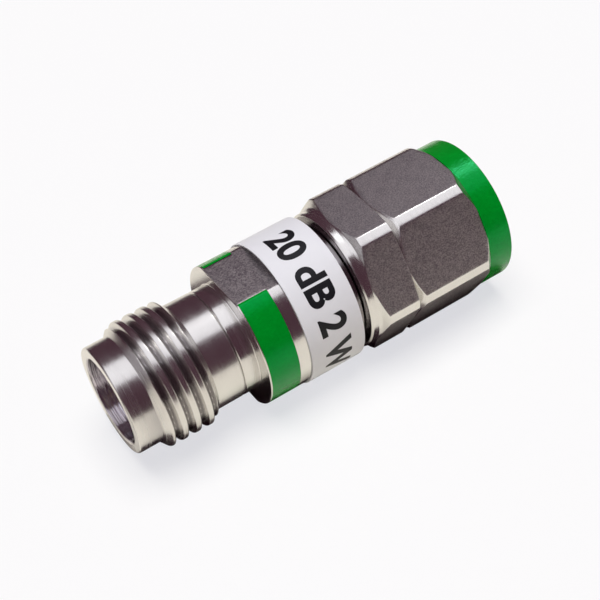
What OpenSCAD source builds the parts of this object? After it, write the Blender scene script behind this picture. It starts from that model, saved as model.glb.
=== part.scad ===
// Coaxial RF attenuator: a threaded jack, a barrel with the resistive card inside,
// and a plug with a coupling nut that turns freely.
// The axis of the part is X, with the centre of the jack's open face at the origin.

/* [Jack] */
// Bore that takes the nose of the mating plug
jack_bore_d = 4.775; // [4.6:0.005:5]
// Depth of that bore, down to the mating plane
jack_bore_depth = 2.1; // [1.6:0.1:2.6]
// Diameter of the plain pilot in front of the thread
pilot_d = 6; // [5.6:0.1:6.4]
// Length of the pilot
pilot_len = 1.3; // [0.9:0.1:1.8]
// Outside diameter of the coupling thread
thread_d = 7; // [6.6:0.1:7.4]
// Pitch of the coupling thread
thread_pitch = 0.75; // [0.5:0.05:1]
// Length of the threaded stretch
thread_len = 3.3; // [2.4:0.1:4.2]
// Diameter of the plain shank behind the thread
shank_d = 6; // [5.6:0.1:6.4]
// Length of the shank, up to the seam with the barrel
shank_len = 1.6; // [1.2:0.1:2]
// Length of the jack's spigot inside the barrel
jack_spigot_len = 2.6; // [2:0.1:3]

/* [Barrel] */
// Outside diameter of the barrel
barrel_d = 8; // [7.6:0.1:8.4]
// Length of the barrel behind its front face
barrel_len = 6.2; // [5.6:0.1:7]
// Length of the collar in front of the barrel's face
collar_len = 0.9; // [0.6:0.1:1.2]
// Diameter of the spigots that the barrel takes at both ends
spigot_d = 5; // [4.8:0.1:5.2]
// Size across the two wrench flats
flats_across = 7.14; // [6.6:0.02:7.5]
// Length of the wrench flats
flats_len = 2.65; // [2:0.05:3]
// Diameter of the relief between the barrel and the nut
relief_d = 6.66; // [6.2:0.02:7.2]
// Length of that relief
relief_len = 0.4; // [0.2:0.05:0.6]
// Chamfer on the turned edges
edge_chamfer = 0.08; // [0.04:0.01:0.12]

/* [Colour marks and label] */
// Length of the enamel band on the barrel
band_len = 1.7; // [1.2:0.1:1.9]
// Depth of the groove that holds the enamel
band_depth = 0.06; // [0.04:0.01:0.12]
// Length of the coloured ring on the nut
nut_ring_len = 1.43; // [1:0.01:1.8]
// Wall of the coloured ring
nut_ring_t = 0.14; // [0.1:0.01:0.2]
// Outside diameter of the coloured ring
nut_ring_d = 8.16; // [7.9:0.02:8.4]
// Width of the label along the axis
label_len = 3.24; // [2.6:0.02:3.6]
// Bare rim of the barrel behind the label
label_rim = 0.1; // [0.05:0.05:0.3]
// Thickness of the label
label_t = 0.09; // [0.05:0.01:0.15]
// Gap where the two ends of the label meet
label_seam = 0.3; // [0.1:0.1:0.6]

/* [Coaxial line] */
// Inside diameter of the outer conductor
line_d = 2.4; // [2.1:0.1:2.7]
// Diameter of the centre conductors
centre_d = 1.042; // [0.9:0.001:1.2]
// Diameter of the neck that joins the two halves of a centre conductor
neck_d = 0.5; // [0.4:0.05:0.6]
// Length of that neck inside the inner half
neck_reach = 1; // [0.6:0.1:1.4]
// Outside diameter of the support beads
bead_d = 3.6; // [3.3:0.1:3.9]
// Length of the support beads
bead_len = 1.2; // [0.8:0.1:1.5]
// Length of air line between the jack's mating plane and its bead
jack_line_len = 2.9; // [2.4:0.1:3.3]
// Length of air line between the plug's mating plane and its bead
plug_line_len = 2.8; // [2.4:0.1:3.3]
// Depth of the pin hole in the jack's contact
socket_depth = 1.6; // [1.2:0.1:2]
// Width of the slots between the contact's fingers
slot_w = 0.1; // [0.06:0.01:0.14]

/* [Resistive card] */
// Thickness of the card
card_t = 0.25; // [0.15:0.05:0.35]
// Width of the card
card_w = 3.2; // [2.9:0.1:3.6]
// Length of the forks that clasp the card's ends
fork_len = 0.5; // [0.3:0.1:0.8]

/* [Plug] */
// Length of the plug's spigot inside the barrel
plug_spigot_len = 2.3; // [1.8:0.1:2.8]
// Diameter of the neck that carries the nut
plug_neck_d = 5.5; // [5.3:0.1:5.7]
// Diameter of the nose that enters the mating jack
nose_d = 4.72; // [4.5:0.01:4.8]
// Length of the nose
nose_len = 3; // [2.5:0.1:3.5]
// Depth of the nose's face behind the front of the nut
nose_recess = 2.43; // [2:0.01:2.8]
// Diameter of the plug's pin
pin_d = 0.511; // [0.4:0.001:0.6]
// Length of the pin in front of the mating plane
pin_len = 1.1; // [0.8:0.1:1.4]

/* [Coupling nut] */
// Size across the hexagon's flats
nut_across = 8; // [7.8:0.1:8.4]
// Diameter to which the hexagon's corners are turned
nut_corner_d = 8.92; // [8.5:0.02:9.2]
// Length of the whole nut
nut_len = 9.07; // [8.5:0.01:9.6]
// Diameter of the round collar at the rear of the nut
nut_rear_d = 7.9; // [7.5:0.1:8]
// Length of that collar
nut_rear_len = 0.5; // [0.2:0.05:0.7]
// Length of the chamfer between that collar and the corners
nut_rear_chamfer = 0.33; // [0.2:0.01:0.6]
// Length of the chamfer between the corners and the coloured ring
nut_front_chamfer = 0.43; // [0.2:0.01:0.6]
// Place of the mark groove's centre, from the rear of the nut
mark_groove_at = 2.89; // [2.4:0.01:3.4]
// Width of the mark groove
mark_groove_w = 0.36; // [0.3:0.02:0.8]
// Diameter at the bottom of the mark groove
mark_groove_d = 8.04; // [7.8:0.02:8.3]
// Chamfer at the mouth of the nut's thread
mouth_chamfer = 0.35; // [0.2:0.05:0.45]

/* [Retaining ring] */
// Place of the ring's centre, from the rear of the nut
ring_at = 1.6; // [1.3:0.1:2.2]
// Width of the ring along the axis
ring_w = 0.4; // [0.3:0.05:0.6]
// Radial thickness of the ring
ring_t = 0.55; // [0.45:0.05:0.65]
// Depth of the ring's groove in the plug's neck
ring_groove_depth = 0.3; // [0.2:0.05:0.35]
// Gap in the ring
ring_gap = 1; // [0.5:0.1:2]

/* [Clearances] */
// Radial clearance of pieces that are seated in one another
fit_clearance = 0.02; // [0.01:0.01:0.04]
// Radial clearance between the plug's neck and the nut
running_clearance = 0.06; // [0.02:0.01:0.1]
// Space round the retaining ring
ring_clearance = 0.06; // [0.03:0.01:0.1]
// Axial gap between the barrel and the nut
nut_gap = 0.06; // [0.03:0.01:0.15]
// Thickness of glue or primer under the label and the enamel
film_gap = 0.01; // [0.005:0.005:0.02]

/* [Hidden] */
$fn = 96;

// Places along the axis
x_thread = pilot_len;
x_shank = x_thread + thread_len;
x_seam = x_shank + shank_len;
x_barrel = x_seam + collar_len;
x_barrel_end = x_barrel + barrel_len;
x_card = x_seam + jack_spigot_len;
x_card_end = x_barrel_end - plug_spigot_len;
x_jack_bead = jack_bore_depth + jack_line_len;
x_jack_stub = x_jack_bead + bead_len;
x_relief = x_barrel_end - relief_len;
x_label_end = x_relief - label_rim;
x_label = x_label_end - label_len;
x_band = x_barrel + edge_chamfer;
x_nut = x_barrel_end + nut_gap;
x_nut_end = x_nut + nut_len;
x_hexagon = x_nut + nut_rear_len;
x_nut_ring = x_nut_end - nut_ring_len;
x_mark_groove = x_nut + mark_groove_at;
x_ring = x_nut + ring_at;
x_nose_face = x_nut_end - nose_recess;
x_nose = x_nose_face - nose_len;
x_plug_bead_end = x_nose_face - plug_line_len;
x_plug_bead = x_plug_bead_end - bead_len;

// Thread form of a metric thread: share of the pitch for depth, crest and minor diameter
thread_depth = 0.6134 * thread_pitch;
thread_crest = thread_pitch / 8;
thread_flank = thread_depth * tan(30);
thread_turns = floor(thread_len / thread_pitch);
thread_root_d = thread_d - 2 * thread_depth;
nut_bore_d = thread_d - 1.0825 * thread_pitch;

// Sizes that follow from a seat and its clearance
barrel_bore_d = spigot_d + 2 * fit_clearance;
bead_seat_d = bead_d + 2 * fit_clearance;
neck_hole_d = neck_d + 2 * fit_clearance;
nut_rear_bore_d = plug_neck_d + 2 * running_clearance;
ring_seat_d = plug_neck_d - 2 * ring_groove_depth;
ring_inner_d = ring_seat_d + 2 * fit_clearance;
ring_outer_d = ring_inner_d + 2 * ring_t;
ring_groove_d = ring_outer_d + 2 * ring_clearance;
nut_ring_seat_d = nut_ring_d - 2 * nut_ring_t;
pin_hole_d = pin_d + 2 * fit_clearance;
pin_tip = pin_d / 2;
cut_over = 1;

// A solid turned about the X axis, from [radius, x] points.
module turned(profile) {
    rotate([0, 90, 0])
        rotate_extrude()
            polygon(profile);
}

// A rod between two places on the axis.
module rod(d, x0, x1) {
    translate([x0, 0, 0])
        rotate([0, 90, 0])
            cylinder(d = d, h = x1 - x0);
}

// A tube between two places on the axis.
module tube(outer_d, inner_d, x0, x1) {
    difference() {
        rod(outer_d, x0, x1);
        rod(inner_d, x0 - cut_over, x1 + cut_over);
    }
}

// A hexagonal bar with flats facing up and down.
module hexagon_bar(across, x0, x1) {
    translate([x0, 0, 0])
        rotate([0, 90, 0])
            rotate([0, 0, 30])
                cylinder(d = across / cos(30), h = x1 - x0, $fn = 6);
}

// The space outside two parallel flats, above and below the axis.
module outside_flats(across, x0, x1, d) {
    for (side = [0, 1])
        mirror([0, 0, side])
            translate([x0, -d, across / 2])
                cube([x1 - x0, 2 * d, d]);
}

// A slab across the axis, centred on it in Y and Z.
module slab(x0, x1, width, height) {
    translate([x0, -width / 2, -height / 2])
        cube([x1 - x0, width, height]);
}

// One ridge of the thread, as [radius, x] points, starting at place x.
function thread_ridge(x) = [
    [thread_root_d / 2, x],
    [thread_d / 2, x + thread_flank],
    [thread_d / 2, x + thread_flank + thread_crest],
    [thread_root_d / 2, x + 2 * thread_flank + thread_crest]
];

module jack_shell() {
    ridges = [for (turn = [0 : thread_turns - 1]) each thread_ridge(x_thread + turn * thread_pitch)];
    color("silver")
        turned(concat(
            [
                [jack_bore_d / 2 + edge_chamfer, 0],
                [pilot_d / 2 - edge_chamfer, 0],
                [pilot_d / 2, edge_chamfer],
                [pilot_d / 2, x_thread]
            ],
            ridges,
            [
                [thread_root_d / 2, x_shank],
                [shank_d / 2, x_shank],
                [shank_d / 2, x_seam - edge_chamfer],
                [shank_d / 2 - edge_chamfer, x_seam],
                [spigot_d / 2, x_seam],
                [spigot_d / 2, x_card],
                [bead_seat_d / 2, x_card],
                [bead_seat_d / 2, x_jack_bead],
                [line_d / 2, x_jack_bead],
                [line_d / 2, jack_bore_depth],
                [jack_bore_d / 2, jack_bore_depth],
                [jack_bore_d / 2, edge_chamfer]
            ]
        ));
}

module jack_bead() {
    color("ivory")
        tube(bead_d, neck_hole_d, x_jack_bead, x_jack_stub);
}

module jack_sleeve() {
    color("goldenrod")
        tube(bead_d, line_d, x_jack_stub, x_card);
}

module jack_contact() {
    color("gold")
        difference() {
            union() {
                rod(centre_d, jack_bore_depth, x_jack_bead);
                rod(neck_d, x_jack_bead, x_jack_stub + neck_reach);
            }
            rod(pin_hole_d, jack_bore_depth - cut_over, jack_bore_depth + socket_depth);
            for (turn = [0, 90])
                rotate([turn, 0, 0])
                    slab(jack_bore_depth - cut_over, jack_bore_depth + socket_depth, slot_w, 2 * centre_d);
        }
}

module jack_stub() {
    color("gold")
        difference() {
            rod(centre_d, x_jack_stub, x_card + fork_len);
            rod(neck_hole_d, x_jack_stub - cut_over, x_jack_stub + neck_reach);
            slab(x_card, x_card + fork_len + cut_over, 2 * centre_d, card_t + 2 * fit_clearance);
        }
}

module barrel() {
    color("silver")
        difference() {
            turned([
                [barrel_bore_d / 2, x_seam],
                [shank_d / 2 - edge_chamfer, x_seam],
                [shank_d / 2, x_seam + edge_chamfer],
                [shank_d / 2, x_barrel],
                [barrel_d / 2 - edge_chamfer, x_barrel],
                [barrel_d / 2, x_band],
                [barrel_d / 2 - band_depth, x_band],
                [barrel_d / 2 - band_depth, x_band + band_len],
                [barrel_d / 2, x_band + band_len],
                [barrel_d / 2, x_relief - edge_chamfer],
                [barrel_d / 2 - edge_chamfer, x_relief],
                [relief_d / 2, x_relief],
                [relief_d / 2, x_barrel_end - edge_chamfer],
                [relief_d / 2 - edge_chamfer, x_barrel_end],
                [barrel_bore_d / 2, x_barrel_end]
            ]);
            outside_flats(flats_across, x_barrel - cut_over, x_barrel + flats_len, barrel_d);
        }
}

module barrel_colour_band() {
    color("forestgreen")
        difference() {
            tube(
                barrel_d,
                barrel_d - 2 * band_depth + 2 * film_gap,
                x_band + film_gap,
                x_band + band_len - film_gap
            );
            outside_flats(flats_across, x_barrel - cut_over, x_barrel_end, barrel_d);
        }
}

module label() {
    glued_d = barrel_d + 2 * film_gap;
    color("white")
        difference() {
            tube(glued_d + 2 * label_t, glued_d, x_label, x_label_end);
            translate([x_label - cut_over, 0, -label_seam / 2])
                cube([label_len + 2 * cut_over, barrel_d, label_seam]);
        }
}

// The tube from which both halves of the card's carrier are cut.
module carrier_blank() {
    tube(spigot_d, line_d, x_card, x_card_end);
}

module carrier_lower() {
    color("goldenrod")
        difference() {
            carrier_blank();
            translate([x_card - cut_over, -spigot_d, card_t / 2])
                cube([x_card_end - x_card + 2 * cut_over, 2 * spigot_d, spigot_d]);
            slab(x_card - cut_over, x_card_end + cut_over, card_w + 2 * fit_clearance, card_t);
        }
}

module carrier_upper() {
    color("goldenrod")
        difference() {
            carrier_blank();
            translate([x_card - cut_over, -spigot_d, card_t / 2 - spigot_d])
                cube([x_card_end - x_card + 2 * cut_over, 2 * spigot_d, spigot_d]);
        }
}

module attenuator_card() {
    color("whitesmoke")
        slab(x_card, x_card_end, card_w, card_t);
}

module plug_shell() {
    color("silver")
        turned([
            [bead_seat_d / 2, x_card_end],
            [spigot_d / 2, x_card_end],
            [spigot_d / 2, x_barrel_end],
            [plug_neck_d / 2, x_barrel_end],
            [plug_neck_d / 2, x_ring - ring_w / 2 - fit_clearance],
            [ring_seat_d / 2, x_ring - ring_w / 2 - fit_clearance],
            [ring_seat_d / 2, x_ring + ring_w / 2 + fit_clearance],
            [plug_neck_d / 2, x_ring + ring_w / 2 + fit_clearance],
            [plug_neck_d / 2, x_nose - edge_chamfer],
            [plug_neck_d / 2 - edge_chamfer, x_nose],
            [nose_d / 2, x_nose],
            [nose_d / 2, x_nose_face - edge_chamfer],
            [nose_d / 2 - edge_chamfer, x_nose_face],
            [line_d / 2, x_nose_face],
            [line_d / 2, x_plug_bead_end],
            [bead_seat_d / 2, x_plug_bead_end]
        ]);
}

module plug_bead() {
    color("ivory")
        tube(bead_d, neck_hole_d, x_plug_bead, x_plug_bead_end);
}

module plug_sleeve() {
    color("goldenrod")
        tube(bead_d, line_d, x_card_end, x_plug_bead);
}

module plug_pin() {
    color("gold")
        turned([
            [0, x_plug_bead - neck_reach],
            [neck_d / 2, x_plug_bead - neck_reach],
            [neck_d / 2, x_plug_bead_end],
            [centre_d / 2, x_plug_bead_end],
            [centre_d / 2, x_nose_face],
            [pin_d / 2, x_nose_face],
            [pin_d / 2, x_nose_face + pin_len - pin_tip],
            [pin_d / 6, x_nose_face + pin_len],
            [0, x_nose_face + pin_len]
        ]);
}

module plug_stub() {
    color("gold")
        difference() {
            rod(centre_d, x_card_end - fork_len, x_plug_bead);
            rod(neck_hole_d, x_plug_bead - neck_reach, x_plug_bead + cut_over);
            slab(
                x_card_end - fork_len - cut_over,
                x_card_end,
                2 * centre_d,
                card_t + 2 * fit_clearance
            );
        }
}

// The turned outline of the nut, which the hexagon's corners follow.
module nut_outline() {
    x_corner = x_hexagon + nut_rear_chamfer;
    x_corner_end = x_nut_ring - nut_front_chamfer;
    turned([
        [0, x_nut],
        [nut_rear_d / 2 - edge_chamfer, x_nut],
        [nut_rear_d / 2, x_nut + edge_chamfer],
        [nut_rear_d / 2, x_hexagon],
        [nut_corner_d / 2, x_corner],
        [nut_corner_d / 2, x_mark_groove - mark_groove_w / 2],
        [mark_groove_d / 2, x_mark_groove],
        [nut_corner_d / 2, x_mark_groove + mark_groove_w / 2],
        [nut_corner_d / 2, x_corner_end],
        [nut_ring_d / 2, x_nut_ring],
        [nut_ring_seat_d / 2, x_nut_ring],
        [nut_ring_seat_d / 2, x_nut_end],
        [0, x_nut_end]
    ]);
}

// The bore of the nut: neck clearance, ring groove and thread core.
module nut_inside() {
    turned([
        [0, x_nut - cut_over],
        [nut_rear_bore_d / 2, x_nut - cut_over],
        [nut_rear_bore_d / 2, x_ring - ring_w / 2 - ring_clearance],
        [ring_groove_d / 2, x_ring - ring_w / 2 - ring_clearance],
        [ring_groove_d / 2, x_ring + ring_w / 2 + ring_clearance],
        [nut_rear_bore_d / 2, x_ring + ring_w / 2 + ring_clearance],
        [nut_rear_bore_d / 2, x_nose],
        [nut_bore_d / 2, x_nose],
        [nut_bore_d / 2, x_nut_end - mouth_chamfer],
        [nut_bore_d / 2 + mouth_chamfer, x_nut_end],
        [nut_bore_d / 2 + mouth_chamfer, x_nut_end + cut_over],
        [0, x_nut_end + cut_over]
    ]);
}

module coupling_nut() {
    color("silver")
        difference() {
            intersection() {
                nut_outline();
                hexagon_bar(nut_across, x_nut - cut_over, x_nut_end + cut_over);
            }
            nut_inside();
        }
}

module nut_colour_ring() {
    inner_r = nut_ring_seat_d / 2 + film_gap;
    round_r = (nut_ring_t - film_gap) / 2;
    color("forestgreen")
        turned(concat(
            [
                [inner_r, x_nut_end],
                [inner_r, x_nut_ring],
                [nut_ring_d / 2, x_nut_ring]
            ],
            [for (angle = [0 : 15 : 90]) [
                nut_ring_d / 2 - round_r + round_r * cos(angle),
                x_nut_end - round_r + round_r * sin(angle)
            ]]
        ));
}

module retaining_ring() {
    color("darkgray")
        difference() {
            tube(ring_outer_d, ring_inner_d, x_ring - ring_w / 2, x_ring + ring_w / 2);
            translate([x_ring - ring_w, -ring_gap / 2, -ring_outer_d])
                cube([2 * ring_w, ring_gap, ring_outer_d]);
        }
}

jack_shell();
jack_bead();
jack_sleeve();
jack_contact();
jack_stub();
barrel();
barrel_colour_band();
label();
carrier_lower();
carrier_upper();
attenuator_card();
plug_shell();
plug_bead();
plug_sleeve();
plug_pin();
plug_stub();
coupling_nut();
nut_colour_ring();
retaining_ring();
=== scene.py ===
"""Looks of the coaxial RF attenuator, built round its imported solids.

The axis of the part is X. Sizes are in millimetres and become metres when a mesh is made.
Round pieces are grids of a place x along the axis, a radius r and an angle a that runs from +Y to +Z.
"""

import bmesh
import bpy
import numpy as np
from mathutils import Matrix, Vector


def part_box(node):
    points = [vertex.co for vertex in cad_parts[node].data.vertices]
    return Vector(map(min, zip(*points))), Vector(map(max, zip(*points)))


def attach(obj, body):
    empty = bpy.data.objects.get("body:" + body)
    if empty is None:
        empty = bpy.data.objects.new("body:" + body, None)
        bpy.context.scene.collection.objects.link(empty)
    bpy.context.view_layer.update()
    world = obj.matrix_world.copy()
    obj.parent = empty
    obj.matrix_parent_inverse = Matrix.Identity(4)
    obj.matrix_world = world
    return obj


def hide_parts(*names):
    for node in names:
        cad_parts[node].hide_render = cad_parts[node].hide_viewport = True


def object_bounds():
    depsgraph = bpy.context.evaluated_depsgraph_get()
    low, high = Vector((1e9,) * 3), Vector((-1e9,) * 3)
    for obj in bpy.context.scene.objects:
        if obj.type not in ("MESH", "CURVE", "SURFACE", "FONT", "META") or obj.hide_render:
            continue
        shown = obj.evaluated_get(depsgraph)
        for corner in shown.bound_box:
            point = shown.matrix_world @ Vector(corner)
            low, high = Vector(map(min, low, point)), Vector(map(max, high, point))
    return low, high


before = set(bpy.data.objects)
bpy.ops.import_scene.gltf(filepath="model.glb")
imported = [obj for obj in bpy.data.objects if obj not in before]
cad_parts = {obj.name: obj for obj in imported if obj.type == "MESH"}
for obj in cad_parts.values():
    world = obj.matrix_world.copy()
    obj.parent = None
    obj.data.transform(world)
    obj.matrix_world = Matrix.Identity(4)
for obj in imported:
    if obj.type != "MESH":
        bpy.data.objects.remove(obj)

CAD_BOX = [list(corner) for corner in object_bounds()]
MM = 0.001
TURN = 2 * np.pi


def span(node):
    """Lowest and highest corner of a solid, in millimetres."""
    low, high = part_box(node)
    return np.array(low) / MM, np.array(high) / MM


# Places and radii that come from the solids
JACK_HIGH = span("jack_shell")[1]
BARREL_LOW, BARREL_HIGH = span("barrel")
BAND_LOW, BAND_HIGH = span("barrel_colour_band")
LABEL_LOW, LABEL_HIGH = span("label")
PLUG_LOW, PLUG_HIGH = span("plug_shell")
PIN_LOW, PIN_HIGH = span("plug_pin")
NUT_LOW, NUT_HIGH = span("coupling_nut")
RING_LOW, RING_HIGH = span("nut_colour_ring")
SNAP_LOW, SNAP_HIGH = span("retaining_ring")
THREAD_R = JACK_HIGH[1]
BARREL_R = BARREL_HIGH[1]
LABEL_R = LABEL_HIGH[1]
FLAT_HALF = BAND_HIGH[2]
NUT_FLAT = NUT_HIGH[2]
CORNER_R = NUT_HIGH[1]
RING_R = RING_HIGH[1]
NECK_R = PLUG_HIGH[1]
MATING_X = span("jack_contact")[0][0]
JACK_BEAD_X = span("jack_bead")[0][0]
PLUG_BEAD_X = span("plug_bead")[1][0]
NOSE_FACE = PLUG_HIGH[0]

# Jack
BORE_R = 2.3875
PILOT_R = 3.0
PILOT_LEN = 1.3
THREAD_LEN = 3.3
SPIGOT_R = 2.5
SEAT_R = 1.82
LINE_R = 1.2
EDGE = 0.08

# Fillets of the outlines' corners
FILLET = 0.035
INNER_FILLET = 0.02
SOFT_FILLET = 0.03
ROOT_FILLET = 0.05
RIM_FILLET = 0.015
FILM_FILLET = 0.01
HAIR_FILLET = 0.004
ROUND_FILLET = 0.09
TIP_FILLET = 0.06

# Coupling thread, right-handed
PITCH = 0.75
THREAD_DEPTH = 0.41
CREST = 0.26
CREST_PHASE = 0.635
INNER_ROOT = 0.09
FLANK_SLOPE = 1 / np.tan(np.radians(30))
THREAD_ROUND = 0.08
RUN_OUT_SLOPE = 1.3
RUN_OUT_BLEND = 0.03
CREST_BLEND = 0.08
THREAD_BLEND = 0.05
JACK_THREAD_STEP = 0.02
NUT_THREAD_STEP = 0.034
# Painted shade in the thread's valleys: where it starts in the cut, how fast it grows, and its most
VALLEY_START = 0.4
VALLEY_GAIN = 2.0
VALLEY_PAINTED_SHADE = 0.6

# Barrel and its marks
COLLAR_LEN = 0.9
FLATS_END = 9.75
RELIEF_R = 3.33
LABEL_RIM = 0.02
SPIGOT_GAP = 0.02
BAND_DEPTH = 0.06
GROOVE_WALL = 0.012
FILM_GAP = 0.01
LABEL_SEAM = 0.3
INK = 0.005

# Plug
NOSE_R = 2.36
NOSE_LEN = 3.0
NOSE_START = NOSE_FACE - NOSE_LEN
SNAP_SEAT_R = 2.45
SNAP_SLACK = 0.02
PIN_NECK_R = 0.25
CENTRE_R = 0.521
PIN_R = 0.2555
PIN_POINT = 0.2555
PIN_TIP_R = PIN_R / 3

# Coupling nut
HEX_SIDES = 6
FIRST_FLAT = np.pi / 6
COLLAR_R = 3.95
COLLAR_END = 0.5
REAR_CONE_LEN = 0.33
FRONT_CONE_LEN = 0.43
GROOVE_AT = 2.78
GROOVE_WALL_LENS = np.array([0.08, 0.4])
HEX_X = NUT_LOW[0] + COLLAR_END
REAR_SLOPE = (CORNER_R - COLLAR_R) / REAR_CONE_LEN
FRONT_SLOPE = (CORNER_R - RING_R) / FRONT_CONE_LEN
GROOVE_X = NUT_LOW[0] + GROOVE_AT
GROOVE_R = 3.99
GROOVE_SLOPES = (CORNER_R - GROOVE_R) / GROOVE_WALL_LENS
GROOVE_FLOOR = 0.01
RING_SEAT_R = 3.95
NUT_BORE_R = 2.81
NUT_CORE_R = 3.094
SNAP_GROOVE_R = 3.08
SNAP_GROOVE_SLACK = 0.06
MOUTH = 0.35
CREASE = 0.035
SLIVER = 0.004
BEVEL_X = HEX_X - 0.06
BEVEL_SLOPE = 0.84
BEVEL_FOOT = BEVEL_X - 0.03
BEVEL_TOP = HEX_X + 0.072
COLLAR_BLEND = 0.02
REAR_EDGE_LEN = 0.11
REAR_EDGE_DEPTH = 0.095

# Meshes
SHARP_ANGLE = np.radians(32)
CREASE_CLUSTER = np.radians([-0.9, -0.4, -0.15, 0, 0.15, 0.4, 0.9])
LEAST_STEP = 1e-4
LEAST_COSINE = 0.2
FILLET_STEPS = 5
FILLET_SHARE = 0.38
SUPPORT = 0.014
SUPPORT_SHARE = 0.1
JACK_SEGMENTS = 256
BARREL_SEGMENTS = 240
BAND_SEGMENTS = 120
LABEL_SEGMENTS = 300
PLUG_SEGMENTS = 192
PIN_SEGMENTS = 96
NUT_SEGMENTS = 210
RING_SEGMENTS = 256
ROWS_A_LEG = 13


# Formulas

def smooth_min(a, b, blend):
    """The smaller of two values; within the distance blend of a tie the crease is a parabola."""
    share = np.clip(1 - np.abs(a - b) / blend, 0, 1)
    return np.minimum(a, b) - blend * share ** 2 / 4


def smooth_max(a, b, blend):
    """The larger of two values, with the same rounded crease."""
    return -smooth_min(-a, -b, blend)


def rounded(points, closed=True):
    """An outline with parabola corners.

    Each point is (x, r, fillet). A corner becomes the quadratic curve that leaves the side before it and
    joins the side after it at the fillet's distance, or at a share of the shorter side if that is less.
    A support point on either side keeps the straight stretches flat when they are shaded smoothly. The
    ends of an open outline stay as they are.
    """
    data = np.asarray(points, float)
    corner, fillet = data[:, :2], data[:, 2:]
    before = np.roll(corner, 1, axis=0) - corner
    after = np.roll(corner, -1, axis=0) - corner
    before_len = np.linalg.norm(before, axis=1, keepdims=True)
    after_len = np.linalg.norm(after, axis=1, keepdims=True)
    before, after = before / before_len, after / after_len
    cut = np.minimum(fillet, FILLET_SHARE * np.minimum(before_len, after_len))
    start, end = corner + before * cut, corner + after * cut
    t = np.linspace(0, 1, FILLET_STEPS + 1)[None, :, None]
    arc = (1 - t) ** 2 * start[:, None] + 2 * t * (1 - t) * corner[:, None] + t ** 2 * end[:, None]
    lead = start + before * np.minimum(SUPPORT, SUPPORT_SHARE * before_len)
    tail = end + after * np.minimum(SUPPORT, SUPPORT_SHARE * after_len)
    bends = np.concatenate([lead[:, None], arc, tail[:, None]], axis=1)
    if closed:
        return bends.reshape(-1, 2)
    return np.concatenate([corner[:1], bends[1:-1].reshape(-1, 2), corner[-1:]])


def eased(count):
    """Fractions from 0 to 1 that crowd towards both ends, as half a cosine wave does."""
    return (1 - np.cos(np.linspace(0, np.pi, count))) / 2


def around(count, creases=()):
    """Angles round the axis: an even spread, and a close cluster at each crease."""
    even = np.linspace(0, TURN, count, endpoint=False)
    near = (np.asarray(creases, float)[:, None] + CREASE_CLUSTER).ravel()
    angles = np.sort(np.concatenate([even, near]) % TURN)
    return angles[np.diff(angles, prepend=-1) > LEAST_STEP]


def thread_cut(x, a, phase, crest):
    """Depth below the crest of a right-hand thread at place x and angle a.

    The crest line climbs one pitch a turn. The distance from it along the axis, less half the crest's
    width, falls away at the flank's slope, and both the crest and the root are rounded.
    """
    turns = x / PITCH - a / TURN - phase
    off_crest = np.abs(turns - np.round(turns)) * PITCH
    flank = (off_crest - crest / 2) * FLANK_SLOPE
    return smooth_min(smooth_max(flank, 0, THREAD_ROUND), THREAD_DEPTH, THREAD_ROUND / 2)


def flat_radius(a, half_width, sides, first):
    """Radius at which a ray at angle a meets the nearest flat of a prism; first is a flat's direction.

    The least cosine keeps the radius finite where a ray runs along a flat.
    """
    step = TURN / sides
    off = (a - first + step / 2) % step - step / 2
    return half_width / np.maximum(np.cos(off), LEAST_COSINE)


def milled_share(turned, flat):
    """1 where a flat cuts below the turned radius, 0 where it doesn't, and between them at the crease."""
    return np.clip(0.5 + (turned - flat) / CREASE, 0, 1)


# Mesh making

def grid_faces(rows, columns, close_rows, close_columns):
    """Quads between neighbouring points of a grid, joined up where a direction is closed."""
    i = np.arange(rows if close_rows else rows - 1)[:, None]
    j = np.arange(columns if close_columns else columns - 1)[None, :]
    i_next, j_next = (i + 1) % rows, (j + 1) % columns
    corners = (i * columns + j, i * columns + j_next, i_next * columns + j_next, i_next * columns + j)
    return np.stack(np.broadcast_arrays(*corners), axis=-1).reshape(-1, 4)


def make_piece(name, points, faces, material, body, node, slot, **masks):
    """An object from points in millimetres, turned outside out if its signed volume is negative.

    Each mask is a value for every point, kept under the mask's name for the material to read. A piece with
    no node of its own lies on another piece.
    """
    mesh = bpy.data.meshes.new(name)
    mesh.from_pydata((points * MM).tolist(), [], faces)
    mesh.calc_loop_triangles()
    triangles = np.zeros(len(mesh.loop_triangles) * 3, np.int32)
    mesh.loop_triangles.foreach_get("vertices", triangles)
    p, q, s = (points[triangles[k::3]] for k in range(3))
    if np.einsum("ij,ij->i", p, np.cross(q, s)).sum() < 0:
        mesh.flip_normals()
    mesh.polygons.foreach_set("use_smooth", np.ones(len(mesh.polygons), bool))
    mesh.set_sharp_from_angle(angle=SHARP_ANGLE)
    for mask, values in masks.items():
        mesh.attributes.new(mask, "FLOAT", "POINT").data.foreach_set("value", values.ravel())
    mesh.materials.append(material)
    piece = bpy.data.objects.new(name, mesh)
    bpy.context.scene.collection.objects.link(piece)
    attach(piece, body)
    if node:
        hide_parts(node)


def mesh_points(mesh):
    """The points of a mesh, one in each row."""
    points = np.zeros(len(mesh.vertices) * 3)
    mesh.vertices.foreach_get("co", points)
    return points.reshape(-1, 3)


def ring_points(x, r, a):
    """Points of a round grid: x stays, and r is turned by the angle a from +Y towards +Z."""
    return np.stack(np.broadcast_arrays(x, r * np.cos(a), r * np.sin(a)), axis=-1).reshape(-1, 3)


def lathe_piece(name, outline, count, material, body, node, slot):
    """A closed outline of (x, r) points carried round the axis."""
    a = around(count)[None, :]
    x, r = outline[:, :1], outline[:, 1:]
    faces = grid_faces(len(outline), a.size, True, True)
    make_piece(name, ring_points(x, r, a), faces.tolist(), material, body, node, slot)


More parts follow.
